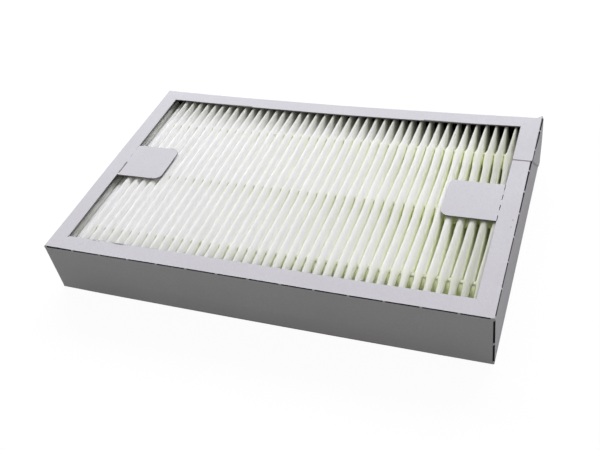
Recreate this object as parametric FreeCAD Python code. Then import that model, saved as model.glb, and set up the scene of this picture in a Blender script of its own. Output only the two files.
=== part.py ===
import FreeCAD, Part
import math
import os

# Pleated high-efficiency air filter cartridge: one sheet of media folded into mini pleats, kept apart
# by lines of hot-melt glue, and potted into a frame that is folded from one die-cut strip of board.
# Millimetres. +X along the long side, +Y to the back, +Z up. The frame rests on its bottom rim at z = 0,
# with the origin in the middle of the whole cartridge's footprint.

# Folded frame, measured over the board
frame_length = 190.5
frame_width = 120.65
frame_height = 25.4
board = 0.6
rim = 8.0
back_bow = 1.7

# Cut-and-nick creases: the die cuts through the board and leaves short nicks that hold the fold
crease_cut = 12.7
crease_nick = 0.9
slit_opening = 0.1
crease_end = 1.6
corner_nick_height = 11.4
corner_nick_end = 1.4
mitre_gap = 0.1

# Glued lap: the strip's last panel goes round the back right corner and over the right wall
lap_length = 32.0
lap_foot = 4.0
lap_foot_height = 0.8
lap_film = 0.15
film_margin = 1.2

# Pull tabs, cut in one with the two short rims and perforated along their root
tab_width = 22.3
tab_reach = 22.5
tab_front_corner = 3.5
tab_back_corner = {"left": 3.5, "right": 2.2}
tab_offset = {"left": 1.3, "right": 0.4}
perforation_cut = 3.2
perforation_pitch = 6.35
perforation_width = 0.3
perforation_count = 4

# Pleated media: the folds are wide between the glue lines and pinched at the potted ends
media = 0.4
pleat_pitch = 4.255
tip_radius = 1.5
pinched_radius = 0.57
fold_flats = 3

# Hot-melt glue: lines across the pleats on both faces, and beads that pot the pack into the frame
bead_width = 1.6
bead_cover = 0.3
bead_line_pitch = 38.1
bead_line_first = 17.3
seal_thickness = 1.5
side_seal_least = 2.0

# Places worked out from the sizes above
half_length = frame_length / 2
half_width = frame_width / 2
pack_top = frame_height - board - bead_cover
pack_bottom = board + bead_cover
pack_front = -half_width + board + seal_thickness
pack_back = half_width - board - back_bow - seal_thickness
room_for_tips = half_length - board - side_seal_least - tip_radius
pleat_count = 2 * int(room_for_tips / pleat_pitch) + 1
pack_half = (pleat_count - 1) / 2 * pleat_pitch
pack_side = pack_half + tip_radius
first_line = -half_width + bead_line_first
last_line = first_line + 2 * bead_line_pitch
lap_outside = half_length + lap_film + board
lap_top = frame_height + lap_film + board
slit = board + slit_opening

# The whole cartridge is as long as its frame and the lap, so its middle lies half a lap to the right
to_origin = FreeCAD.Vector(-(lap_film + board) / 2, 0, 0)


def point(x, y, z=0.0):
    return FreeCAD.Vector(x, y, z)


def box(x, y, z):
    """Block between two values on each axis, given as pairs."""
    corner = point(x[0], y[0], z[0])
    return Part.makeBox(x[1] - x[0], y[1] - y[0], z[1] - z[0], corner)


def polygon(corners):
    return Part.Face(Part.makePolygon(corners + corners[:1]))


def prism(corners, direction):
    """Flat polygon drawn out along a direction."""
    return polygon(corners).extrude(direction)


def plan_prism(inset, bottom, top):
    """Everything inside the frame's outer faces less an inset; the back edge is a shallow arc."""
    x = half_length - inset
    front = -half_width + inset
    back = half_width - inset
    sides = Part.makePolygon([
        point(-x, back, bottom), point(-x, front, bottom),
        point(x, front, bottom), point(x, back, bottom),
    ])
    middle = point(0, back - back_bow, bottom)
    bowed = Part.Arc(point(x, back, bottom), middle, point(-x, back, bottom)).toShape()
    outline = Part.Wire(sides.Edges + [bowed])
    return Part.Face(outline).extrude(point(0, 0, top - bottom))


def ring(outer_inset, inner_inset, bottom, top):
    return plan_prism(outer_inset, bottom, top).cut(plan_prism(inner_inset, bottom, top))


def slit_runs(low, high):
    """Cut lengths along one crease, each followed by a nick."""
    runs = []
    start = low + crease_end
    while start < high - crease_end:
        runs.append((start, min(start + crease_cut, high - crease_end)))
        start += crease_cut + crease_nick
    return [run for run in runs if run[1] - run[0] > crease_end]


def slanted_outside():
    """The frame's outer shape with its folds slanted, as their nicks are, but not behind the lap."""
    whole = plan_prism(0, 0, frame_height)
    lap_corner = point(half_length, half_width, frame_height / 2)
    folds = [edge for edge in whole.Edges if edge.CenterOfMass.distanceToPoint(lap_corner) > slit]
    return whole.makeChamfer(slit, folds)


def walls_and_rims():
    walls = ring(0, board, 0, frame_height)
    bottom_rim = ring(0, rim, 0, board)
    top_rim = ring(0, rim, frame_height - board, frame_height)
    return walls.fuse([bottom_rim, top_rim]).common(slanted_outside())


def pull_tab(side):
    """Tab that lies in the window at rim level, with two rounded corners at its free end."""
    sign = 1 if side == "right" else -1
    root = sign * (half_length - rim)
    tip = root - sign * tab_reach
    low = tab_offset[side] - tab_width / 2
    high = tab_offset[side] + tab_width / 2
    level = frame_height - board
    corners = [point(root, low, level), point(tip, low, level),
               point(tip, high, level), point(root, high, level)]
    tab = prism(corners, point(0, 0, board))
    for y, radius in ((low, tab_front_corner), (high, tab_back_corner[side])):
        middle = point(tip, y, level + board / 2)
        upright = min(tab.Edges, key=lambda edge: edge.CenterOfMass.distanceToPoint(middle))
        tab = tab.makeFillet(radius, [upright])
    return tab


def perforations(side):
    """Row of short cuts across the root of one tab."""
    sign = 1 if side == "right" else -1
    root = sign * (half_length - rim)
    row = (perforation_count - 1) * perforation_pitch + perforation_cut
    start = tab_offset[side] - row / 2
    across = (root - perforation_width / 2, root + perforation_width / 2)
    cuts = []
    for number in range(perforation_count):
        low = start + number * perforation_pitch
        cuts.append(box(across, (low, low + perforation_cut), (frame_height - board, frame_height)))
    return cuts


def mitre_cuts():
    """Thin cuts from each outer corner to the window's corner, through the rims only."""
    cuts = []
    for x_sign in (-1, 1):
        for y_sign in (-1, 1):
            outer = point(x_sign * half_length, y_sign * half_width)
            inner = point(x_sign * (half_length - rim), y_sign * (half_width - rim))
            along = (inner - outer).normalize()
            aside = point(-along.y, along.x) * (mitre_gap / 2)
            start = outer - along * mitre_gap
            end = inner + along * mitre_gap
            corners = [start + aside, start - aside, end - aside, end + aside]
            for level in (0, frame_height - board):
                lifted = [corner + point(0, 0, level) for corner in corners]
                cuts.append(prism(lifted, point(0, 0, board)))
    return cuts


def lap_outline(x, margin):
    """The lap panel from the side: full height at the corner, its free end cut away towards its foot."""
    back = half_width - margin
    return [
        point(x, back, lap_foot_height + margin),
        point(x, half_width - lap_foot, lap_foot_height + margin),
        point(x, half_width - lap_length + margin, frame_height - margin),
        point(x, half_width - lap_length + margin, frame_height),
        point(x, back, frame_height),
    ]


def lap_rim(bottom, thickness, margin):
    """The lap's own rim, over the right rim, mitred at the back corner."""
    inner = half_length - rim + margin
    front = half_width - lap_length + margin
    corners = [
        point(inner, front, bottom), point(lap_outside - board, front, bottom),
        point(lap_outside - board, half_width - margin, bottom),
        point(half_length - margin, half_width - margin, bottom),
        point(inner, half_width - rim, bottom),
    ]
    return prism(corners, point(0, 0, thickness))


def wedge(corner, inward, along):
    """Three-sided prism that slants one straight fold as far as its crease is cut."""
    corners = [corner, corner + inward[0] * slit, corner + inward[1] * slit]
    return prism(corners, along)


def lap():
    """Panel outside the right wall, its rim above the right rim, and the corner they turn about."""
    panel = prism(lap_outline(half_length + lap_film, 0), point(board, 0, 0))
    front = half_width - lap_length
    edge = box((half_length + lap_film, lap_outside), (front, half_width), (frame_height, lap_top))
    over = lap_rim(frame_height + lap_film, board, 0)
    corner = box((half_length, lap_outside), (half_width - board, half_width), (0, frame_height))
    left = point(-1, 0)
    fold_start = point(lap_outside, front, lap_top)
    corner_foot = point(lap_outside, half_width)
    slants = [wedge(fold_start, (left, point(0, 0, -1)), point(0, lap_length)),
              wedge(corner_foot, (left, point(0, -1)), point(0, 0, lap_top))]
    return panel.fuse([edge, over, corner]).cut(slants)


def crease_slits():
    """Slits along every fold of the strip: square grooves that open the board right through."""
    top = (frame_height - slit, frame_height)
    bands = [ring(0, slit, *top), ring(0, slit, 0, slit)]
    lap_band = box((lap_outside - slit, lap_outside), (-half_width, half_width), (lap_top - slit, lap_top))
    whole = (-lap_outside, lap_outside)
    height = (0, lap_top)
    cutters = [box(run, whole, height) for run in slit_runs(-half_length, half_length)]
    side_cutters = [box(whole, run, height) for run in slit_runs(-half_width, half_width)]
    cuts = [band.common(Part.makeCompound(cutters + side_cutters)) for band in bands]
    cuts.append(lap_band.common(Part.makeCompound(side_cutters)))
    uprights = [
        (corner_nick_end, corner_nick_height - crease_nick / 2),
        (corner_nick_height + crease_nick / 2, frame_height - corner_nick_end),
    ]
    corners = [(-half_length, -half_width, 1, 1), (half_length, -half_width, -1, 1),
               (-half_length, half_width, 1, -1), (lap_outside, half_width, -1, -1)]
    for x, y, x_in, y_in in corners:
        across = sorted((x, x + x_in * slit))
        along = sorted((y, y + y_in * slit))
        cuts += [box(across, along, upright) for upright in uprights]
    return cuts


def frame_board():
    """One strip of board: four walls with their rims, two tabs, and the lap that closes it."""
    frame = walls_and_rims()
    start_gap = box((half_length - board, half_length),
                    (half_width - board - slit_opening, half_width - board), (0, frame_height))
    frame = frame.cut([start_gap] + mitre_cuts())
    frame = frame.fuse([lap(), pull_tab("left"), pull_tab("right")])
    cuts = crease_slits() + perforations("left") + perforations("right")
    return frame.cut(cuts).removeSplitter()


def lap_glue():
    """Film of glue between the lap and what it covers."""
    wall_film = prism(lap_outline(half_length, film_margin), point(lap_film, 0, 0))
    top_film = lap_rim(frame_height, lap_film, film_margin)
    return wall_film.fuse(top_film).removeSplitter()


def leg_lean(radius, next_radius):
    """Angle by which a leg leans in below its fold, as a tangent to two neighbouring folds."""
    rise = pack_top - pack_bottom - radius - next_radius
    distance = math.hypot(pleat_pitch / 2, rise)
    crossing = math.asin((radius + next_radius - media) / distance)
    return crossing - math.atan2(pleat_pitch / 2, rise)


def fold(x, radius, depth, leans):
    """Corners of one upper fold, at a depth in the sheet: flats round a circle, between two legs."""
    first = math.pi + leans[0]
    last = -leans[1]
    turn = (first - last) / (fold_flats + 1)
    reach = (radius - depth) / math.cos(turn / 2)
    corners = []
    for number in range(fold_flats + 1):
        angle = first - turn * (number + 0.5)
        corners.append((x + reach * math.cos(angle), pack_top - radius + reach * math.sin(angle)))
    return corners


def turned_over(corners):
    """The same corners seen from the other face of the pack."""
    return [(x, pack_top + pack_bottom - z) for x, z in corners]


def sheet_side(radius, upper_depth, lower_depth):
    """One face of the folded sheet from left to right; the first and the last fold are always wide."""
    upper_radii = [tip_radius] + [radius] * (pleat_count - 2) + [tip_radius]
    leans = [leg_lean(upper_radius, radius) for upper_radius in upper_radii]
    side = pack_side - upper_depth
    corners = [(-side, pack_bottom)]
    for number in range(pleat_count):
        x = -pack_half + number * pleat_pitch
        left = 0 if number == 0 else leans[number]
        right = 0 if number == pleat_count - 1 else leans[number]
        corners += fold(x, upper_radii[number], upper_depth, (left, right))
        if number < pleat_count - 1:
            lower = fold(x + pleat_pitch / 2, radius, lower_depth, leans[number:number + 2])
            corners += turned_over(lower)
    corners.append((side, pack_bottom))
    return corners


def sheet_section(y, radius):
    """Outline of the sheet's cut edge at one place along the pleats."""
    outline = sheet_side(radius, 0, media) + sheet_side(radius, media, 0)[::-1]
    return [point(x, y, z) for x, z in outline]


def skin(near, far, twisted):
    """Faces from one section to the next; a twisted leg is split alike on both faces of the sheet."""
    faces = []
    for number in range(len(near)):
        following = (number + 1) % len(near)
        a, b, c, d = near[number], near[following], far[following], far[number]
        if not twisted:
            faces.append(polygon([a, b, c, d]))
        elif number < len(near) / 2:
            faces += [polygon([a, b, c]), polygon([a, c, d])]
        else:
            faces += [polygon([a, b, d]), polygon([b, c, d])]
    return faces


def pleated_media():
    """The whole sheet, folded back and forth, straight between the glue lines and pinched at both ends."""
    sections = [
        sheet_section(pack_front, pinched_radius),
        sheet_section(first_line - bead_width / 2, tip_radius),
        sheet_section(last_line + bead_width / 2, tip_radius),
        sheet_section(pack_back, pinched_radius),
    ]
    faces = [polygon(sections[0]), polygon(sections[-1])]
    for number, twisted in enumerate((True, False, True)):
        faces += skin(sections[number], sections[number + 1], twisted)
    shell = Part.makeShell(faces)
    shell.sewShape()
    return Part.makeSolid(shell)


def web(x):
    """Corners of the glue in one pocket of the upper face, down between its two legs to their fold."""
    leans = [leg_lean(tip_radius, tip_radius)] * 2
    upper_x, upper_z = fold(x - pleat_pitch / 2, tip_radius, 0, leans)[-1]
    lower_x, lower_z = turned_over(fold(x, tip_radius, media, leans))[0]
    slope = (upper_x - lower_x) / (upper_z - lower_z)
    mouth_x = upper_x + slope * (pack_top - upper_z)
    return [(mouth_x, pack_top), (lower_x, lower_z), (2 * x - lower_x, lower_z), (2 * x - mouth_x, pack_top)]


def glue_line(y, upward):
    """Bead across the tips on one face, with a web down into every pocket between two pleats."""
    pockets = pleat_count - 1 if upward else pleat_count - 2
    first = -(pockets - 1) / 2 * pleat_pitch
    profile = []
    for number in range(pockets):
        profile += web(first + number * pleat_pitch)
    over = pack_top + bead_cover
    profile += [(pack_half, pack_top), (pack_half, over), (-pack_half, over), (-pack_half, pack_top)]
    if not upward:
        profile = turned_over(profile)
    corners = [point(x, y - bead_width / 2, z) for x, z in profile]
    return prism(corners, point(0, bead_width, 0))


def long_seal(side):
    """Bead that pots the ends of the pleats against the front or the back wall."""
    inside = plan_prism(board, board, frame_height - board)
    if side == "front":
        across = (-half_width, pack_front)
    else:
        across = (pack_back, half_width)
    return inside.common(box((-half_length, half_length), across, (0, frame_height)))


def short_seal(side):
    """Bead between the last leg of the sheet and the left or the right wall."""
    across = (pack_side, half_length - board)
    if side == "left":
        across = (-across[1], -across[0])
    return box(across, (pack_front, pack_back), (board, frame_height - board))


def build():
    pieces = {"frame_board": frame_board(), "pleated_media": pleated_media(), "lap_glue": lap_glue()}
    for number, row in enumerate(("front", "middle", "back")):
        y = first_line + number * bead_line_pitch
        pieces["glue_line_top_" + row] = glue_line(y, True)
        pieces["glue_line_bottom_" + row] = glue_line(y, False)
    for side in ("front", "back"):
        pieces["seal_" + side] = long_seal(side)
    for side in ("left", "right"):
        pieces["seal_" + side] = short_seal(side)
    return pieces


def main():
    os.makedirs("parts", exist_ok=True)
    for name, shape in build().items():
        shape.translate(to_origin)
        shape.exportStep("parts/" + name + ".step")
        print(name, len(shape.Solids), shape.isValid(), round(shape.Volume, 1))


main()
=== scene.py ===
# %% [markdown]
# A pleated air filter cartridge: a sheet of filter paper folded into mini pleats, lines of hot-melt glue
# that keep the pleats apart, and a frame folded from one strip of pale board. The imported CAD model gives
# every place and size, so the first step is to load it. Blender's vector noise starts anywhere unless it
# has a seed, so the seed is set here too. A few helpers come next, because each later step needs them.

# %% Load the frame
import math

import bmesh
import bpy
from mathutils import Matrix, Vector, noise


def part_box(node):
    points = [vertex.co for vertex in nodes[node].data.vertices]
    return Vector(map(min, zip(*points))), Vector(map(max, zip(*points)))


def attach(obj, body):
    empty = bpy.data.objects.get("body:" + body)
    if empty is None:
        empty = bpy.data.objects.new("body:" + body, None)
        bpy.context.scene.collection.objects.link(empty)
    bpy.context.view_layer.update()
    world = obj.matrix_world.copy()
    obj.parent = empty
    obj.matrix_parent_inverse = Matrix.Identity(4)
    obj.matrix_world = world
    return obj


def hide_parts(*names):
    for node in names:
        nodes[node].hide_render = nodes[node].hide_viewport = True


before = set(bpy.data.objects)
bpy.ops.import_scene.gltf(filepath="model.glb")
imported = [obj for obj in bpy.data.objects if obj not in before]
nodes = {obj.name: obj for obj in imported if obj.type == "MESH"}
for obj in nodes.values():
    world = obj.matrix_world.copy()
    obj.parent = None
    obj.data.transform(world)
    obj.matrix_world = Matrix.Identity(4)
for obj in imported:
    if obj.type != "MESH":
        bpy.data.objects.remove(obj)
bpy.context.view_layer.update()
MM = 0.001
noise_seed = 7
noise.seed_set(noise_seed)


# %% Helpers for colours, meshes and node trees
def srgb(red, green, blue):
    """A colour as a picture shows it, from 0 to 255, turned into the linear values that shaders take."""
    def linear(value):
        value /= 255
        return value / 12.92 if value <= 0.04045 else ((value + 0.055) / 1.055) ** 2.4
    return (linear(red), linear(green), linear(blue), 1.0)


def ease(low, high, value):
    """Smooth step from 0 at low to 1 at high."""
    t = min(max((value - low) / (high - low), 0.0), 1.0)
    return t * t * (3 - 2 * t)


def new_piece(name, bm, material, smooth=True):
    """An object at the origin that takes its place from its mesh."""
    mesh = bpy.data.meshes.new(name)
    bm.to_mesh(mesh)
    bm.free()
    mesh.materials.append(material)
    for face in mesh.polygons:
        face.use_smooth = smooth
    piece = bpy.data.objects.new(name, mesh)
    bpy.context.scene.collection.objects.link(piece)
    return piece


def add_node(tree, kind, place, **values):
    """A shader node with its sockets or settings given by name."""
    node = tree.nodes.new(kind)
    node.location = place
    for key, value in values.items():
        if hasattr(node, key):
            setattr(node, key, value)
        else:
            node.inputs[key.replace("_", " ").title()].default_value = value
    return node


def new_material(name):
    """A material with a Principled BSDF and Object coordinates, ready for its own nodes."""
    material = bpy.data.materials.new(name)
    material.use_nodes = True
    tree = material.node_tree
    shader = tree.nodes["Principled BSDF"]
    coordinates = add_node(tree, "ShaderNodeTexCoord", (-1200, 0))
    return material, tree, shader, coordinates.outputs["Object"]


print("helpers ready")

# %% [markdown]
# The camera stands in front of the filter's right half and looks down on it at about 41 degrees, a little
# turned about its own axis, as the photograph was taken by hand. An azimuth, an elevation, a roll and a
# distance say that in words that can be read again later, and they give the camera's matrix.

# %% Camera
camera_azimuth = math.radians(27.65)
camera_elevation = math.radians(41.36)
camera_roll = math.radians(-11.53)
camera_distance = 322.3 * MM
camera_aim = Vector((10.66, -27.23, 25.4)) * MM
lens_mm = 47.32


def add_camera():
    flat = math.cos(camera_elevation)
    forward = Vector((-math.sin(camera_azimuth) * flat, math.cos(camera_azimuth) * flat,
                      -math.sin(camera_elevation)))
    level = forward.cross(Vector((0, 0, 1))).normalized()
    upright = level.cross(forward)
    right = level * math.cos(camera_roll) + upright * math.sin(camera_roll)
    up = right.cross(forward)
    data = bpy.data.cameras.new("camera")
    data.sensor_width = 36
    data.lens = lens_mm
    camera = bpy.data.objects.new("camera", data)
    bpy.context.scene.collection.objects.link(camera)
    turn = Matrix((right, up, -forward)).transposed().to_4x4()
    camera.matrix_world = Matrix.Translation(camera_aim - forward * camera_distance) @ turn
    bpy.context.scene.camera = camera
    return camera


camera = add_camera()
print("camera at", [round(value, 4) for value in camera.matrix_world.translation])

# %% [markdown]
# The light is that of a pale studio: one large soft lamp high at the back, which leaves the front wall in
# shade, and a weaker one at the right. The lamp is a little blue and the world a little warm, so that the
# rims look cool and the shaded walls neutral. The floor looks white to the camera because its material
# glows for camera and mirror rays only; for all other rays it is a plain grey, so it lights no wall.
# Light bounces many times between two pleats, which is why the limits on bounces are high.

# %% Lamps, floor and world
scene = bpy.context.scene
scene.view_settings.view_transform = "Standard"
scene.cycles.max_bounces = 32
scene.cycles.diffuse_bounces = 26
floor_size = 6.0
floor_grey = srgb(150, 150, 152)
floor_glow = 0.8
floor_white = 1.19
world_light = 0.345
world_colour = (1, 1.0, 0.925, 1)
key_colour = (1, 1.0, 1.06)


def area_lamp(name, place, aim, width, height, power, colour=(1, 1, 1)):
    data = bpy.data.lights.new(name, "AREA")
    data.shape = "RECTANGLE"
    data.size = width
    data.size_y = height
    data.energy = power
    data.color = colour
    lamp = bpy.data.objects.new(name, data)
    scene.collection.objects.link(lamp)
    lamp.location = place
    lamp.rotation_euler = (Vector(aim) - Vector(place)).to_track_quat("-Z", "Y").to_euler()
    return lamp


def white_to_camera(tree, ray, plain, glow_share):
    """Mixes a plain shader with a white glow that only camera and mirror rays see."""
    path = add_node(tree, "ShaderNodeLightPath", (-600, 300))
    seen = add_node(tree, "ShaderNodeMath", (-400, 300), operation="MAXIMUM")
    tree.links.new(path.outputs["Is Camera Ray"], seen.inputs[0])
    tree.links.new(path.outputs["Is Glossy Ray"], seen.inputs[1])
    share = add_node(tree, "ShaderNodeMath", (-200, 300), operation="MULTIPLY")
    share.inputs[1].default_value = glow_share
    tree.links.new(seen.outputs[0], share.inputs[0])
    mix = add_node(tree, "ShaderNodeMixShader", (0, 200))
    tree.links.new(share.outputs[0], mix.inputs["Fac"])
    tree.links.new(plain.outputs[0], mix.inputs[1])
    tree.links.new(ray.outputs[0], mix.inputs[2])
    return mix


def add_floor():
    bm = bmesh.new()
    bmesh.ops.create_grid(bm, x_segments=1, y_segments=1, size=floor_size / 2)
    material = bpy.data.materials.new("floor")
    material.use_nodes = True
    tree = material.node_tree
    tree.nodes.remove(tree.nodes["Principled BSDF"])
    plain = add_node(tree, "ShaderNodeBsdfDiffuse", (-200, 0), Color=floor_grey)
    glow = add_node(tree, "ShaderNodeEmission", (-200, 120), Color=(1, 1, 1, 1), Strength=floor_white)
    mix = white_to_camera(tree, glow, plain, floor_glow)
    tree.links.new(mix.outputs[0], tree.nodes["Material Output"].inputs["Surface"])
    floor = new_piece("floor", bm, material, smooth=False)
    return floor


def light_world():
    world = bpy.data.worlds.new("studio")
    scene.world = world
    world.use_nodes = True
    tree = world.node_tree
    plain = tree.nodes["Background"]
    plain.inputs["Color"].default_value = world_colour
    plain.inputs["Strength"].default_value = world_light
    white = add_node(tree, "ShaderNodeBackground", (-200, 120), Color=(1, 1, 1, 1), Strength=1.0)
    mix = white_to_camera(tree, white, plain, 1.0)
    tree.links.new(mix.outputs[0], tree.nodes["World Output"].inputs["Surface"])


add_floor()
light_world()
area_lamp("key", (-0.16, 0.84, 0.72), (0, 0, 0), 1.7, 0.5, 18.4, key_colour)
area_lamp("right_fill", (0.9, 0.35, 0.35), (0, 0, 0), 0.5, 0.5, 0.35)

# %% [markdown]
# Board, filter paper and glue all show a fine grain. One node group makes it: noise in two scales, the
# finer one drawn out into fibres. It puts out a shade that darkens or lightens the colour and a height for
# the bump, and each material places it with its own scale. A shared group keeps the grain alike in kind.

# %% Grain group
def grain_group():
    group = bpy.data.node_groups.new("fibre_grain", "ShaderNodeTree")
    face = group.interface
    face.new_socket("Vector", in_out="INPUT", socket_type="NodeSocketVector")
    for name, value in (("Fibre Scale", 900.0), ("Cloud Scale", 40.0), ("Stretch", 6.0)):
        socket = face.new_socket(name, in_out="INPUT", socket_type="NodeSocketFloat")
        socket.default_value = value
    face.new_socket("Shade", in_out="OUTPUT", socket_type="NodeSocketFloat")
    face.new_socket("Cloud", in_out="OUTPUT", socket_type="NodeSocketFloat")
    face.new_socket("Height", in_out="OUTPUT", socket_type="NodeSocketFloat")
    start = add_node(group, "NodeGroupInput", (-900, 0))
    end = add_node(group, "NodeGroupOutput", (500, 0))
    link = group.links.new
    heights = []
    for number, turn in enumerate((0.5, -0.7)):
        lean = add_node(group, "ShaderNodeMapping", (-650, 200 - 300 * number))
        lean.inputs["Rotation"].default_value = (turn, -turn, 1.1 + turn)
        link(start.outputs["Vector"], lean.inputs["Vector"])
        pull = add_node(group, "ShaderNodeCombineXYZ", (-650, 60 - 300 * number), X=1.0, Y=1.0)
        link(start.outputs["Stretch"], pull.inputs["Z"])
        drawn = add_node(group, "ShaderNodeVectorMath", (-450, 200 - 300 * number), operation="MULTIPLY")
        link(lean.outputs[0], drawn.inputs[0])
        link(pull.outputs[0], drawn.inputs[1])
        fibres = add_node(group, "ShaderNodeTexNoise", (-250, 200 - 300 * number), Detail=3.0)
        link(drawn.outputs[0], fibres.inputs["Vector"])
        link(start.outputs["Fibre Scale"], fibres.inputs["Scale"])
        heights.append(fibres.outputs["Fac"])
    both = add_node(group, "ShaderNodeMath", (0, 100), operation="ADD")
    link(heights[0], both.inputs[0])
    link(heights[1], both.inputs[1])
    half = add_node(group, "ShaderNodeMath", (150, 100), operation="MULTIPLY")
    half.inputs[1].default_value = 0.5
    link(both.outputs[0], half.inputs[0])
    cloud = add_node(group, "ShaderNodeTexNoise", (-250, -400), Detail=4.0)
    link(start.outputs["Vector"], cloud.inputs["Vector"])
    link(start.outputs["Cloud Scale"], cloud.inputs["Scale"])
    link(half.outputs[0], end.inputs["Shade"])
    link(half.outputs[0], end.inputs["Height"])
    link(cloud.outputs["Fac"], end.inputs["Cloud"])
    return group


grain = grain_group()
print("group sockets:", [item.name for item in grain.interface.items_tree])


# %% Grain in a material
def add_grain(tree, vector, fibre_scale, cloud_scale, stretch):
    node = add_node(tree, "ShaderNodeGroup", (-950, 0))
    node.node_tree = grain
    tree.links.new(vector, node.inputs["Vector"])
    node.inputs["Fibre Scale"].default_value = fibre_scale
    node.inputs["Cloud Scale"].default_value = cloud_scale
    node.inputs["Stretch"].default_value = stretch
    return node


def blend_colours(tree, factor, low, high, place):
    """Colour between two by a factor that changes over the surface."""
    mix = add_node(tree, "ShaderNodeMix", place, data_type="RGBA")
    tree.links.new(factor, mix.inputs["Factor"])
    for socket, value in ((mix.inputs[6], low), (mix.inputs[7], high)):
        if hasattr(value, "links"):
            tree.links.new(value, socket)
        else:
            socket.default_value = value
    return mix.outputs[2]


def spread(tree, value, low, high, place):
    """Stretches a noise, which stays near its middle, over the whole range from 0 to 1."""
    node = add_node(tree, "ShaderNodeMapRange", place)
    node.inputs["From Min"].default_value = low
    node.inputs["From Max"].default_value = high
    tree.links.new(value, node.inputs["Value"])
    return node.outputs["Result"]


def add_bump(tree, shader, height, strength, distance):
    bump = add_node(tree, "ShaderNodeBump", (-200, -400))
    bump.inputs["Strength"].default_value = strength
    bump.inputs["Distance"].default_value = distance
    tree.links.new(height, bump.inputs["Height"])
    tree.links.new(bump.outputs["Normal"], shader.inputs["Normal"])


print("grain helpers ready")

# %% [markdown]
# The board is uncoated and matt, a cool pale grey with faint clouds and fibres. Its cut edges show a darker
# grey core, and the walls of the creases' slits are painted near black, painted shade for the dark gap that
# they open on. One function makes the three materials. A second node group makes small dark blots: dots and
# short streaks on the rims and the paper, and the darker foot of the front wall.

# %% Mark group
def mark_group():
    """A soft-edged blot: 1 at its centre and 0 outside its half size, with a ragged rim."""
    group = bpy.data.node_groups.new("small_mark", "ShaderNodeTree")
    for name in ("Vector", "Centre", "Half Size"):
        group.interface.new_socket(name, in_out="INPUT", socket_type="NodeSocketVector")
    group.interface.new_socket("Mask", in_out="OUTPUT", socket_type="NodeSocketFloat")
    start = add_node(group, "NodeGroupInput", (-800, 0))
    end = add_node(group, "NodeGroupOutput", (400, 0))
    link = group.links.new
    shift = add_node(group, "ShaderNodeVectorMath", (-600, 0), operation="SUBTRACT")
    link(start.outputs["Vector"], shift.inputs[0])
    link(start.outputs["Centre"], shift.inputs[1])
    scaled = add_node(group, "ShaderNodeVectorMath", (-400, 0), operation="DIVIDE")
    link(shift.outputs[0], scaled.inputs[0])
    link(start.outputs["Half Size"], scaled.inputs[1])
    far = add_node(group, "ShaderNodeVectorMath", (-200, 0), operation="LENGTH")
    link(scaled.outputs[0], far.inputs[0])
    ragged = add_node(group, "ShaderNodeTexNoise", (-400, -250), Scale=2600.0, Detail=2.0)
    link(start.outputs["Vector"], ragged.inputs["Vector"])
    total = add_node(group, "ShaderNodeMath", (0, -100), operation="ADD")
    link(far.outputs["Value"], total.inputs[0])
    link(ragged.outputs["Fac"], total.inputs[1])
    fade = add_node(group, "ShaderNodeMapRange", (200, 0))
    fade.inputs["From Min"].default_value = 1.5
    fade.inputs["From Max"].default_value = 0.9
    link(total.outputs[0], fade.inputs["Value"])
    link(fade.outputs["Result"], end.inputs["Mask"])
    return group


small_mark = mark_group()


def add_marks(tree, vector, colour, marks, dark):
    """Blends each mark into a colour; a mark is its centre and half size in mm and its share of dark."""
    for number, (centre, half_size, share) in enumerate(marks):
        node = add_node(tree, "ShaderNodeGroup", (-900, -500 - 200 * number))
        node.node_tree = small_mark
        tree.links.new(vector, node.inputs["Vector"])
        node.inputs["Centre"].default_value = Vector(centre) * MM
        node.inputs["Half Size"].default_value = Vector(half_size) * MM
        part = add_node(tree, "ShaderNodeMath", (-700, -500 - 200 * number), operation="MULTIPLY")
        part.inputs[1].default_value = share
        tree.links.new(node.outputs["Mask"], part.inputs[0])
        colour = blend_colours(tree, part.outputs[0], colour, dark, (-500, -500 - 200 * number))
    return colour


print("mark sockets:", [item.name for item in small_mark.interface.items_tree])


# %% Board materials
rim_marks = [
    ((92.9, -9.1, 25.4), (0.35, 0.35, 1.0), 0.75), ((92.8, -13.2, 25.4), (0.3, 0.45, 1.0), 0.6),
    ((-61.9, -52.6, 25.4), (4.0, 0.5, 1.0), 0.8), ((-71.9, -52.6, 25.4), (0.6, 0.4, 1.0), 0.7),
    ((-74.2, -52.6, 25.4), (1.1, 0.4, 1.0), 0.6), ((-82.6, -52.0, 25.4), (0.8, 0.6, 1.0), 0.7),
    ((-79.0, -56.0, 25.4), (1.2, 0.5, 1.0), 0.12), ((88.0, 53.2, 25.6), (1.4, 0.35, 1.5), 0.3),
    ((-87.4, -52.6, 25.4), (0.6, 0.5, 1.0), 0.8), ((15.0, -61.0, 0.2), (78.0, 2.0, 0.8), 0.5),
]
mark_dark = srgb(70, 67, 66)
speck_share = 0.94


def board_material(name, low, high, rough, marks=()):
    material, tree, shader, vector = new_material(name)
    fibres = add_grain(tree, vector, 700.0, 55.0, 5.0)
    cloud = spread(tree, fibres.outputs["Cloud"], 0.3, 0.7, (-700, 200))
    tone = blend_colours(tree, cloud, low, high, (-500, 200))
    speck = spread(tree, fibres.outputs["Shade"], 0.3, 0.6, (-700, 0))
    speck_colour = tuple(speck_share * part for part in low[:3]) + (1.0,)
    dull = blend_colours(tree, speck, speck_colour, tone, (-300, 100))
    marked = add_marks(tree, vector, dull, marks, mark_dark)
    tree.links.new(marked, shader.inputs["Base Color"])
    shader.inputs["Roughness"].default_value = rough
    shader.inputs["Specular IOR Level"].default_value = 0.25
    add_bump(tree, shader, fibres.outputs["Height"], 0.15, 0.00004)
    return material


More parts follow.
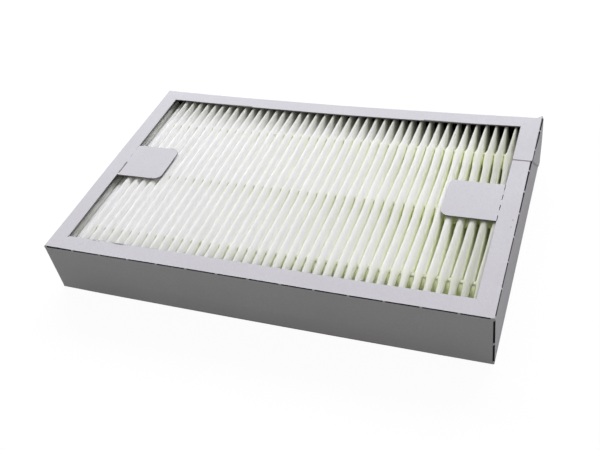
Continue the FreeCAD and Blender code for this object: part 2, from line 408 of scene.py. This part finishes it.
board_face = board_material("board_face", srgb(203, 201, 206), srgb(208, 206, 212), 0.85, rim_marks)
board_core = board_material("board_core", srgb(112, 111, 110), srgb(128, 127, 125), 0.95)
# Painted shade: the walls of the slits are painted near black for the shade in their gap.
painted_slit_shade = board_material("painted_slit_shade", srgb(34, 33, 33), srgb(54, 52, 52), 0.95)
print("board materials:", board_face.name, board_core.name, painted_slit_shade.name)

# %% [markdown]
# The frame's own shape is in the CAD model: one folded strip with slits, nicks, tabs and a lap. A real one
# is never quite flat, so a copy of its mesh is merged, cut across at even steps, and bent: the front wall
# bellies out a little towards its foot, every panel is slightly wavy, the lap is pressed flat at its free
# end, and the mitres close. The lap's film of glue is a copy that is pressed in the same way.

# %% Folded frame
board = 0.6 * MM
wave_depth = 0.16 * MM
wave_scale = 28.0
wave_foot = 8 * MM
front_belly = 0.9 * MM
cut_step = 9.0 * MM
frame_top = 25.4 * MM
rim_width = 8.0 * MM
lap_proud = 0.75 * MM
lap_reach = 32.0 * MM
lap_lean = 28.0 / 24.6
pressed_share = 0.35
press_fade = (1 * MM, 20 * MM)
mitre_reach = 0.07 * MM
mitre_pull = 0.42
slit_width = 0.8 * MM
slit_share = 0.45
left_opens = (-75 * MM, -95 * MM)
right_opens = (-30 * MM, 50 * MM)
right_crease = 90 * MM
root_share = 0.3
root_half = 14 * MM


def merged_copy(name):
    """A CAD node's mesh with its loose triangles joined and its flat faces made whole."""
    bm = bmesh.new()
    bm.from_mesh(nodes[name].data)
    bmesh.ops.remove_doubles(bm, verts=bm.verts, dist=0.001 * MM)
    bmesh.ops.dissolve_limit(bm, angle_limit=math.radians(0.2), verts=bm.verts, edges=bm.edges)
    return bm


def cut_across(bm, low, high, step):
    """Cuts a mesh by planes at even steps along each axis, so that it can bend."""
    for axis in range(3):
        direction = Vector([1.0 if axis == other else 0.0 for other in range(3)])
        count = int((high[axis] - low[axis]) / step)
        for number in range(1, count + 1):
            place = low.lerp(high, number / (count + 1))
            geometry = bm.verts[:] + bm.edges[:] + bm.faces[:]
            bmesh.ops.bisect_plane(bm, geom=geometry, dist=1e-7, plane_co=place, plane_no=direction)


def press_lap(place, high):
    """The lap lies flat on what it covers towards its free end, which leans back down the right wall."""
    wall = high.x - lap_proud
    from_end = place.y - (high.y - lap_reach) - lap_lean * max(frame_top - place.z, 0.0)
    share = pressed_share + (1 - pressed_share) * ease(*press_fade, from_end)
    if place.x > wall:
        place.x = wall + (place.x - wall) * share
    if place.z > frame_top:
        place.z = frame_top + (place.z - frame_top) * share


def close_mitre(place, low, high):
    """Moves the two sides of a mitre cut almost together."""
    right = high.x - lap_proud
    x_end, x_in = (low.x, 1) if place.x < 0 else (right, -1)
    y_end, y_in = (low.y, 1) if place.y < 0 else (high.y, -1)
    across, along = (place.x - x_end) * x_in, (place.y - y_end) * y_in
    gap = across - along
    if abs(gap) < 2 * mitre_reach and 0 < across < rim_width + 2 * mitre_reach:
        place.x -= x_in * gap * mitre_pull
        place.y += y_in * gap * mitre_pull


def board_levels(low, high):
    """Where the outer faces of the board and its lap lie along each axis."""
    return (low.x, high.x - lap_proud, high.x), (low.y, high.y), (low.z, frame_top, high.z)


def open_share(place):
    """How wide a lying crease's slits gape: in full at the back of the right one, half at the left end."""
    if place.x > right_crease:
        gape = ease(*right_opens, place.y)
    else:
        gape = 0.5 * ease(*left_opens, place.x)
    return slit_share + (1 - slit_share) * gape


def narrow_slit(place, low, high):
    """Draws the lips of a lying crease's slits together; an upright crease stays as it is."""
    levels = board_levels(low, high)
    nearest = [min(levels[axis], key=lambda level: abs(place[axis] - level)) for axis in range(3)]
    gaps = [place[axis] - nearest[axis] for axis in range(3)]
    for axis in range(3):
        others = [abs(gaps[other]) for other in range(3) if other != axis]
        if board < abs(gaps[axis]) < slit_width and min(others) < 0.02 * MM:
            upright = abs(gaps[2]) > slit_width
            place[axis] = nearest[axis] + gaps[axis] * (1.0 if upright else open_share(place))


def close_cuts(place, low):
    """The left tab has been pressed back, so the cuts across its root are nearly shut."""
    root = low.x + rim_width
    if abs(place.x - root) < 0.2 * MM and abs(place.y) < root_half and place.z > frame_top - board:
        place.x = root + (place.x - root) * root_share


def bend_board(bm, low, high):
    """Waves in the panels, which fade out at the foot, and the belly of the front wall."""
    length = high.x - low.x
    for vert in bm.verts:
        narrow_slit(vert.co, low, high)
        press_lap(vert.co, high)
        close_mitre(vert.co, low, high)
        close_cuts(vert.co, low)
        place = vert.co.copy()
        rise = ease(0, wave_foot, place.z)
        wave = noise.noise_vector(place * wave_scale)
        vert.co += Vector((wave.x, wave.y, wave.z * 0.6)) * wave_depth * rise
        along = 1 - (2 * (place.x - low.x) / length - 1) ** 2
        front = 1 - ease(0.7 * MM, 2.5 * MM, place.y - low.y)
        belly = math.sin(math.pi * min(place.z / (high.z * 0.9), 1.0)) * 0.6 + 0.4 * (1 - place.z / high.z)
        vert.co.y -= front_belly * along * front * belly


def face_kind(face, low, high):
    """0 for the board's faces, the lap's end and the nicks, 1 for cut edges, 2 for the slits' walls,
    painted shade.
    """
    centre = face.calc_center_median()
    slanted = sorted(abs(part) for part in face.normal)[1] > 0.5
    size = [max(v.co[axis] for v in face.verts) - min(v.co[axis] for v in face.verts) for axis in range(3)]
    levels = board_levels(low, high)
    near = [min(abs(centre[axis] - level) for level in levels[axis]) < slit_width for axis in range(3)]
    in_crease = sum(near) > 1
    narrow = sorted(size)[1] < 1.15 * board
    on_lap = centre.z > frame_top or centre.x > levels[0][1]
    lap_end = on_lap and face.normal.y < -0.7
    nick = in_crease and slanted
    if not narrow or lap_end or nick:
        return 0
    return 2 if in_crease else 1


def make_frame():
    low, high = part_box("frame_board")
    bm = merged_copy("frame_board")
    cut_across(bm, low, high, cut_step)
    bm.normal_update()
    kinds = [face_kind(face, low, high) for face in bm.faces]
    bend_board(bm, low, high)
    bmesh.ops.recalc_face_normals(bm, faces=bm.faces)
    piece = new_piece("folded_frame", bm, board_face, smooth=False)
    piece.data.materials.append(board_core)
    piece.data.materials.append(painted_slit_shade)
    for polygon, kind in zip(piece.data.polygons, kinds):
        polygon.material_index = kind
    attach(piece, "root")
    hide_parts("frame_board")
    return piece


folded_frame = make_frame()
print("frame faces:", len(folded_frame.data.polygons))

# %% [markdown]
# The filter paper is glass fibre, matt and nearly white. It is thin enough to let light through, so its
# shader scatters light below the surface over about a millimetre, which keeps the shaded side of each
# pleat bright. Three attributes of the mesh change its colour: `depth` paints it lighter down in the
# pockets, painted light for the light that fills them between the pleats, `stain` adds the glue's pale
# yellow-green, and `end` dims it towards the ends of the pack, and as painted shade on the low first pleats
# at the left.

# %% Filter paper material
paper_marks = [
    ((-24.4, 32.3, 24.4), (0.5, 0.7, 1.0), 0.8), ((-73.7, -37.1, 24.4), (0.5, 0.9, 1.0), 0.7),
]


def media_material():
    material, tree, shader, vector = new_material("filter_paper")
    fibres = add_grain(tree, vector, 1100.0, 120.0, 4.0)
    cloud = spread(tree, fibres.outputs["Cloud"], 0.3, 0.7, (-700, 200))
    tone = blend_colours(tree, cloud, srgb(235, 235, 234), srgb(239, 239, 239), (-500, 200))
    speck = spread(tree, fibres.outputs["Shade"], 0.3, 0.55, (-700, 0))
    dull = blend_colours(tree, speck, srgb(232, 232, 230), tone, (-300, 100))
    depth = add_node(tree, "ShaderNodeAttribute", (-500, 0), attribute_name="depth")
    # Painted light: the pockets are painted lighter than the tips by the depth attribute.
    pocket_painted_light = blend_colours(tree, depth.outputs["Fac"], dull, srgb(254, 254, 253), (-200, 100))
    stain = add_node(tree, "ShaderNodeAttribute", (-500, -100), attribute_name="stain")
    tinted = blend_colours(tree, stain.outputs["Fac"], pocket_painted_light, srgb(235, 240, 196), (-100, 0))
    end = add_node(tree, "ShaderNodeAttribute", (-500, -200), attribute_name="end")
    dim = blend_colours(tree, end.outputs["Fac"], tinted, srgb(176, 177, 166), (0, -100))
    marked = add_marks(tree, vector, dim, paper_marks, mark_dark)
    tree.links.new(marked, shader.inputs["Base Color"])
    shader.inputs["Roughness"].default_value = 0.95
    shader.inputs["Specular IOR Level"].default_value = 0.1
    shader.inputs["Subsurface Weight"].default_value = 1.0
    shader.inputs["Subsurface Radius"].default_value = (0.9, 0.9, 0.86)
    shader.inputs["Subsurface Scale"].default_value = MM
    add_bump(tree, shader, fibres.outputs["Height"], 0.08, 0.00005)
    return material


filter_paper = media_material()
print("media material:", filter_paper.name)

# %% [markdown]
# The media is one sheet, so it starts as one flat grid. Each column of the grid goes to its place along the
# folds: round a tip, down a leg, round the next tip. The rows lie close together at the glue lines and at
# the ends, where the folds change their width. A Solidify modifier then gives the sheet its thickness.

# %% Where the pleats are
media_low, media_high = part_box("pleated_media")
sheet = 0.4 * MM
pleat_pitch = 4.255 * MM
tip_half = {"left": 1.93 * MM, "right": 1.3 * MM}
tip_fall = 1.6
pinched_half = {"left": 0.95 * MM, "right": 0.5 * MM}
stub_share = {"left": 0.85, "right": 0.65}
cone_share = 0.86
flared_half = 2.03 * MM
flare_ahead = {"back": 14.0 * MM, "middle": 8.0 * MM, "front": 3.0 * MM}
flare_behind = {"back": 2.6 * MM, "middle": 24.0 * MM, "front": 26.0 * MM}
window_back = 51.4 * MM
window_front = -52.3 * MM
arc_steps = 5
leg_steps = 2
right_spread = 2.0 * MM
spread_folds = 16
spread_fade = (-12 * MM, 38 * MM)
near_sway = 0.16 * MM
wide_sway = 0.35 * MM
sway_ends = 14 * MM
uneven_width = 0.06 * MM
uneven_tips = 0.15 * MM
row_far = 3.1 * MM
row_near = 0.75 * MM
middle_x = (media_low.x + media_high.x) / 2
pleat_count = round((media_high.x - media_low.x - 3 * MM) / pleat_pitch) + 1
last_fold = 2 * pleat_count - 2
low_tips = {0: 2.2 * MM, 2: 2.2 * MM, last_fold: 0.4 * MM}
glue_rows = {}
for row in ("front", "middle", "back"):
    low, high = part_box("glue_line_top_" + row)
    glue_rows[row] = (low.y + high.y) / 2
print("pleats:", pleat_count, "glue lines at", {row: round(y, 4) for row, y in glue_rows.items()})


# %% Fold shape along the pleats
def near_glue(y):
    """Distance along a pleat to the nearest glue line."""
    return min(abs(y - row_y) for row_y in glue_rows.values())


def between(pair, share):
    """A value between a pair's left and right one."""
    return pair["left"] + (pair["right"] - pair["left"]) * share


def flare_at(y):
    """1 on a glue line; it fades over its own reach on each side of each line."""
    share = 0.0
    for row, row_y in glue_rows.items():
        reach = flare_ahead[row] if y < row_y else flare_behind[row]
        share = max(share, (1 - ease(0.3 * MM, reach, abs(y - row_y))) ** 1.4)
    return share


def tip_width(y, seed):
    """Half width of a fold: pinched at both ends, flared at the glue lines, a little uneven between."""
    along = seed / last_fold
    back = (window_back - y) / (window_back - glue_rows["back"] - flare_behind["back"])
    front = (y - window_front) / (glue_rows["front"] - window_front + 5 * MM)
    opened = min(max(min(back, front + between(stub_share, along)), 0.0), 1.0)
    full = between(tip_half, along ** tip_fall) * (cone_share if y > glue_rows["back"] else 1.0)
    pinched = between(pinched_half, min(2 * along, 1.0))
    width = pinched + (full - pinched) * opened
    flare = flare_at(y)
    uneven = noise.noise(Vector((y * 60, seed * 7.3, 0))) * uneven_width * opened * (1 - flare)
    return width + (flared_half - width) * flare + uneven


def tip_sway(y, seed):
    """Sideways wander of one fold, none at its ends."""
    ends = ease(0, sway_ends, min(media_high.y - y, y - media_low.y))
    near = noise.noise(Vector((y * 34, seed * 3.1, 5.0))) * near_sway
    wide = noise.noise(Vector((y * 24, seed * 0.21, 9.0))) * wide_sway
    return (near + wide) * ends


def tip_drop(y, fold):
    """How far a tip stays below the pack's face; the first two lie low, and the last a little."""
    return low_tips.get(fold, 0.0) + abs(noise.noise(Vector((y * 25, fold * 5.7, 2.0)))) * uneven_tips


def fold_middle(fold, y):
    """Centre and radius of the sheet's middle surface at one fold; even folds are at the top."""
    upward = fold % 2 == 0
    width = tip_width(y, fold)
    radius = width - sheet / 2
    spread_here = ease(last_fold - spread_folds, last_fold, fold) * (1 - ease(*spread_fade, y))
    x = middle_x + (fold - (pleat_count - 1)) * pleat_pitch / 2 + tip_sway(y, fold)
    x += right_spread * spread_here
    reach = width + tip_drop(y, fold)
    z = media_high.z - reach if upward else media_low.z + reach
    return x, z, radius, upward


def fold_point(fold, turn, y):
    """A point round one fold; turn runs from 0 at its left leg to 1 at its right leg."""
    x, z, radius, upward = fold_middle(fold, y)
    angle = math.pi * (1 - turn)
    rise = math.sin(angle) * radius
    return Vector((x + math.cos(angle) * radius, y, z + rise if upward else z - rise))


def sheet_point(column, y):
    """The place of one grid column along the folded sheet."""
    fold, step = divmod(column, arc_steps + leg_steps)
    if step <= arc_steps:
        return fold_point(fold, step / arc_steps, y)
    share = (step - arc_steps) / leg_steps
    return fold_point(fold, 1.0, y).lerp(fold_point(fold + 1, 0.0, y), share)


def row_places():
    """Places of the grid's rows along the pleats, close together where the folds change."""
    places = [media_low.y]
    while places[-1] < media_high.y - row_near:
        step = row_near + (row_far - row_near) * ease(2 * MM, 6 * MM, near_glue(places[-1] + row_near))
        places.append(min(places[-1] + step, media_high.y))
    places[-1] = media_high.y
    return places


print("half width of the first and last tip in mm:",
      [round(tip_width(0.0, fold) / MM, 2) for fold in (0, last_fold)])


# %% Colour of the paper from place to place
tip_band = (0.2 * MM, 1.5 * MM)
stained_skin = (0.2 * MM, 2.2 * MM)
pocket_light_behind = 0.4
stain_ahead = 9 * MM
stain_behind = 1.5 * MM


def below_face(point):
    """How deep a point lies under the nearer face of the pack."""
    return min(media_high.z - point.z, point.z - media_low.z)


def depth_at(point):
    """0 on the tips and 1 down in the pockets, where the paper is painted lighter: painted light for the
    light between the pleats.
    """
    behind = ease(glue_rows["back"], glue_rows["back"] + 4 * MM, point.y)
    return ease(*tip_band, below_face(point)) * (1 - (1 - pocket_light_behind) * behind)


def end_at(point):
    """Where the paper is dim: most at the back end and the right, less at the front end and the left, where
    it is painted shade on the low first pleats.
    """
    tip = 1 - ease(*tip_band, below_face(point))
    back = (0.5 + 0.2 * tip) * ease(glue_rows["back"], window_back, point.y)
    front = 0.3 * ease(glue_rows["front"], window_front, point.y)
    right = (0.15 + 0.6 * tip) * ease(media_high.x - 30 * MM, media_high.x - 3 * MM, point.x)
    # Painted shade: the low first pleats at the left are painted darker.
    left = 0.4 * (1 - ease(media_low.x + 3.5 * MM, media_low.x + 5.5 * MM, point.x))
    return max(back, front, right, left)


def stain_at(point):
    """Share of glue colour in the paper: most in front of a glue line, in the pockets and on the right."""
    share = 0.0
    for row_y in glue_rows.values():
        reach = stain_ahead if point.y < row_y else stain_behind
        share = max(share, 1 - ease(0.3 * MM, reach, abs(point.y - row_y)))
    depth = ease(*stained_skin, below_face(point))
    across = 0.15 + 0.85 * ease(media_low.x, 0.8 * media_high.x, point.x)
    across += 0.6 * ease(0.3 * media_high.x, 0.9 * media_high.x, point.x)
    return (share * (0.12 + 0.65 * depth) + 0.22 * depth + 0.1) * across


middle_tip = Vector((middle_x, glue_rows["middle"], media_high.z))
print("on the middle glue line: stain", round(stain_at(middle_tip), 3), "depth", depth_at(middle_tip))


# %% Folded sheet
def make_media():
    folds = 2 * pleat_count - 1
    columns = (folds - 1) * (arc_steps + leg_steps) + arc_steps
    rows = row_places()
    bm = bmesh.new()
    bmesh.ops.create_grid(bm, x_segments=columns, y_segments=len(rows) - 1, size=1.0)
    for vert in bm.verts:
        column = round((vert.co.x + 1) / 2 * columns)
        row = round((vert.co.y + 1) / 2 * (len(rows) - 1))
        vert.co = sheet_point(column, rows[row])
    piece = new_piece("folded_media", bm, filter_paper)
    for name, value_at in (("stain", stain_at), ("depth", depth_at), ("end", end_at)):
        attribute = piece.data.attributes.new(name, "FLOAT", "POINT")
        attribute.data.foreach_set("value", [value_at(vert.co) for vert in piece.data.vertices])
    thicken = piece.modifiers.new("thickness", "SOLIDIFY")
    thicken.thickness = sheet
    thicken.offset = 0
    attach(piece, "root")
    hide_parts("pleated_media")
    return piece


folded_media = make_media()
print("sheet faces:", len(folded_media.data.polygons))

# %% [markdown]
# The glue between the pleats is a pale yellow-green hot-melt. It is a little glossy and lets light in, so
# the shader has some subsurface light of its own colour. The tongues have a duller film colour than the
# bead, which the attribute `thick` blends in. The sealant that pots the pack's ends is nearly black.

# %% Glue materials
def glue_material(name, low, high, rough, film=None):
    material, tree, shader, vector = new_material(name)
    fibres = add_grain(tree, vector, 500.0, 200.0, 1.5)
    cloud = spread(tree, fibres.outputs["Cloud"], 0.3, 0.7, (-700, 200))
    tone = blend_colours(tree, cloud, low, high, (-500, 200))
    if film:
        thick = add_node(tree, "ShaderNodeAttribute", (-500, 0), attribute_name="thick")
        tone = blend_colours(tree, thick.outputs["Fac"], film, tone, (-300, 100))
    tree.links.new(tone, shader.inputs["Base Color"])
    shader.inputs["Specular IOR Level"].default_value = 0.2
    gloss = spread(tree, fibres.outputs["Shade"], 0.2, 0.8, (-700, -200))
    node = add_node(tree, "ShaderNodeMapRange", (-500, -200))
    node.inputs["To Min"].default_value = rough - 0.08
    node.inputs["To Max"].default_value = rough + 0.08
    tree.links.new(gloss, node.inputs["Value"])
    tree.links.new(node.outputs["Result"], shader.inputs["Roughness"])
    shader.inputs["Subsurface Weight"].default_value = 0.8
    shader.inputs["Subsurface Radius"].default_value = (0.6, 0.6, 0.4)
    shader.inputs["Subsurface Scale"].default_value = MM
    add_bump(tree, shader, fibres.outputs["Cloud"], 0.3, 0.0002)
    return material


separator_glue = glue_material("separator_glue", srgb(225, 232, 186), srgb(233, 239, 198), 0.6,
                               film=srgb(208, 211, 186))
potting_glue = glue_material("potting_glue", srgb(16, 16, 16), srgb(30, 30, 29), 0.5)
print("glue materials:", separator_glue.name, potting_glue.name)

# %% [markdown]
# Where a bead crosses the pleats it has soaked into each tip, fills the top of each pocket to a shallow
# trough, and hangs down as a web between the two legs. In front of the line it has run along the pocket as
# a tongue that gets lower. A ribbon is swept across the pleats for the troughs, and passes through the
# paper of each tip; the webs with their tongues are blocks, cut into levels and drawn out. Where a pleat
# lies low, the glue lies lower too, so that it stays inside the paper.

# %% Glue lines
soaked = 0.12 * MM
trough = 1.25 * MM
trough_softness = 0.08 * MM
ribbon_thick = 0.5 * MM
ribbon_wander = 0.25 * MM
ribbon_crown = 0.14 * MM
stations = 12
around = 8
hidden_tips = 2
hidden_drop = 8 * MM
low_tip_drop = 3 * MM
web_half = 0.75 * MM
web_back = 0.6 * MM
web_below_face = 1.3 * MM
web_above_sheet = 0.3 * MM
web_sink = 0.35
web_cuts = (1, 3, 7)
tongue_fade = (0.9 * MM, 2.4 * MM)
tongue_rise = {"front": 2.2, "middle": 1.6, "back": 1.3}
tongue_stretch = {"front": 1.6, "middle": 1.0, "back": 1.0}
tongue_levels = ((0.0, 0.6), (0.4, 1.7), (1.5, 3.6), (3.6, 5.2), (6.5, 3.0), (11.0, 1.2), (25.0, 0.8))


def glue_height(aside, radius):
    """Height of the glue over the pleats, below the tips' level; aside is the distance from a tip."""
    near = min(abs(aside), radius)
    tip = math.sqrt(radius ** 2 - near ** 2) - radius - soaked
    blend = math.exp(-abs(tip + trough) / trough_softness) * 0.5
    return max(tip, -trough) + trough_softness * blend


def glue_reach(share):
    """Half width of the ribbon: narrow over a tip and in mid pocket, wide where it clings to a leg."""
    cling = math.exp(-((0.5 - abs(share - 0.5) - 0.3) / 0.1) ** 2)
    return (0.75 + 0.5 * cling) * MM


def sweep_ribbon(bm, columns):
    """A closed tube of unit rings, one for each station across the pleats."""
    made = bmesh.ops.create_circle(bm, cap_ends=True, segments=around, radius=1.0)
    bmesh.ops.rotate(bm, verts=made["verts"], cent=(0, 0, 0), matrix=Matrix.Rotation(math.pi / 2, 3, "Y"))
    edges = [edge for edge in bm.edges]
    for number in range(columns):
        grown = bmesh.ops.extrude_edge_only(bm, edges=edges)["geom"]
        verts = [item for item in grown if isinstance(item, bmesh.types.BMVert)]
        edges = [item for item in grown if isinstance(item, bmesh.types.BMEdge)
                 and all(vert in set(verts) for vert in item.verts)]
        bmesh.ops.translate(bm, verts=verts, vec=(1.0, 0, 0))
    bmesh.ops.contextual_create(bm, geom=edges)


def place_ribbon(bm, y_middle, upward):
    first_fold = 2 * hidden_tips if upward else 1
    tips = pleat_count - (hidden_tips if upward else 1)
    for vert in bm.verts:
        station = round(vert.co.x)
        number, step = divmod(station, stations)
        share = step / stations
        fold = first_fold + 2 * min(number, tips - 1)
        following = min(fold + 2, first_fold + 2 * (tips - 1))
        x, _, radius, _ = fold_middle(fold, y_middle)
        next_x, _, _, _ = fold_middle(following, y_middle)
        place = x + (next_x - x) * share
        aside = (place - x) if share < 0.5 else (next_x - place)
        drop = tip_drop(y_middle, fold) * (1 - share) + tip_drop(y_middle, following) * share
        top = media_high.z - drop + glue_height(aside, radius + sheet / 2)
        across, lift = vert.co.y, vert.co.z
        wander = noise.noise(Vector((station * 0.25, y_middle * 90, 1.0))) * ribbon_wander
        z = top - ribbon_crown * across ** 2 if lift > -0.01 else top + ribbon_thick * lift
        y = y_middle + wander + across * glue_reach(share)
        if not upward:
            z = media_high.z + media_low.z - z
        vert.co = Vector((place, y, z))


def tongue_reach(below):
    """How far the glue reaches to the front at one depth, from the levels on each side of it."""
    for (high, reach), (low, next_reach) in zip(tongue_levels, tongue_levels[1:]):
        if below <= low:
            return (reach + (next_reach - reach) * (below - high) / (low - high)) * MM
    return tongue_levels[-1][1] * MM


def add_web(bm, x, y_middle, top, bottom, stretch, raised):
    """One block in a pocket, with its tongue to the front and a hollow along its top."""
    height = abs(bottom - top)
    before = len(bm.verts)
    bmesh.ops.create_cube(bm, size=2.0)
    for axis, cuts in enumerate(web_cuts):
        bm.verts.ensure_lookup_table()
        edges = {edge for vert in bm.verts[before:] for edge in vert.link_edges}
        runs = [edge for edge in edges if abs((edge.verts[0].co - edge.verts[1].co)[axis]) > 0.01]
        bmesh.ops.subdivide_edges(bm, edges=runs, cuts=cuts, use_grid_fill=True)
    bm.verts.ensure_lookup_table()
    for vert in bm.verts[before:]:
        across, along, rise = vert.co
        below = height / MM * ((1 - rise) / 2) ** 2.2
        sink = web_sink * (1 - across ** 2) * (1 - min(below / 6, 1.0))
        reach = tongue_reach(below * raised) * (stretch if below > 0.3 else 1.0)
        y = y_middle - reach + (web_back + reach) * (along + 1) / 2
        z = top + (bottom - top) * min((below + sink) * MM / height, 1.0)
        vert.co = Vector((x + across * web_half * (1 + 0.012 * below), y, z))


def add_webs(bm, row, upward):
    y_middle = glue_rows[row]
    for number in range(pleat_count - (1 if upward else 2)):
        x = fold_middle(2 * number + (1 if upward else 2), y_middle)[0]
        top = media_high.z - web_below_face
        bottom = media_low.z + sheet + web_above_sheet
        if not upward:
            top, bottom = [media_high.z + media_low.z - z for z in (top, bottom)]
        if upward and number < hidden_tips:
            top -= hidden_drop
        if not upward and number == 0:
            bottom -= low_tip_drop
        uneven = 1.0 + 0.5 * noise.noise(Vector((number * 1.3, y_middle * 50, 3.0)))
        add_web(bm, x, y_middle, top, bottom, uneven * tongue_stretch[row], tongue_rise[row])


def make_glue_line(name, row, upward):
    y_middle = glue_rows[row]
    bm = bmesh.new()
    sweep_ribbon(bm, (pleat_count - (hidden_tips if upward else 1) - 1) * stations)
    place_ribbon(bm, y_middle, upward)
    add_webs(bm, row, upward)
    bmesh.ops.recalc_face_normals(bm, faces=bm.faces)
    piece = new_piece(name + "_bead", bm, separator_glue)
    thick = piece.data.attributes.new("thick", "FLOAT", "POINT")
    shares = [ease(*tongue_fade, y_middle - vert.co.y) for vert in piece.data.vertices]
    thick.data.foreach_set("value", shares)
    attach(piece, "root")
    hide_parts(name)
    return piece


beads = []
for row in glue_rows:
    beads.append(make_glue_line("glue_line_top_" + row, row, True))
    beads.append(make_glue_line("glue_line_bottom_" + row, row, False))
print("glue lines:", {bead.name: len(bead.data.polygons) for bead in beads})

# %% [markdown]
# The potting beads are nearly hidden, so their CAD shapes stay, and only their material is changed. The
# film of glue in the lap is pressed with the lap above it.

# %% Potting beads and lap film
for name in ("seal_front", "seal_back", "seal_left", "seal_right"):
    nodes[name].data.materials.clear()
    nodes[name].data.materials.append(potting_glue)


def make_lap_film():
    _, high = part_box("frame_board")
    bm = merged_copy("lap_glue")
    for vert in bm.verts:
        press_lap(vert.co, high)
    bmesh.ops.recalc_face_normals(bm, faces=bm.faces)
    piece = new_piece("lap_film", bm, separator_glue, smooth=False)
    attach(piece, "root")
    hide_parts("lap_glue")
    return piece


lap_film = make_lap_film()
print("potted ends done, lap film faces:", len(lap_film.data.polygons))
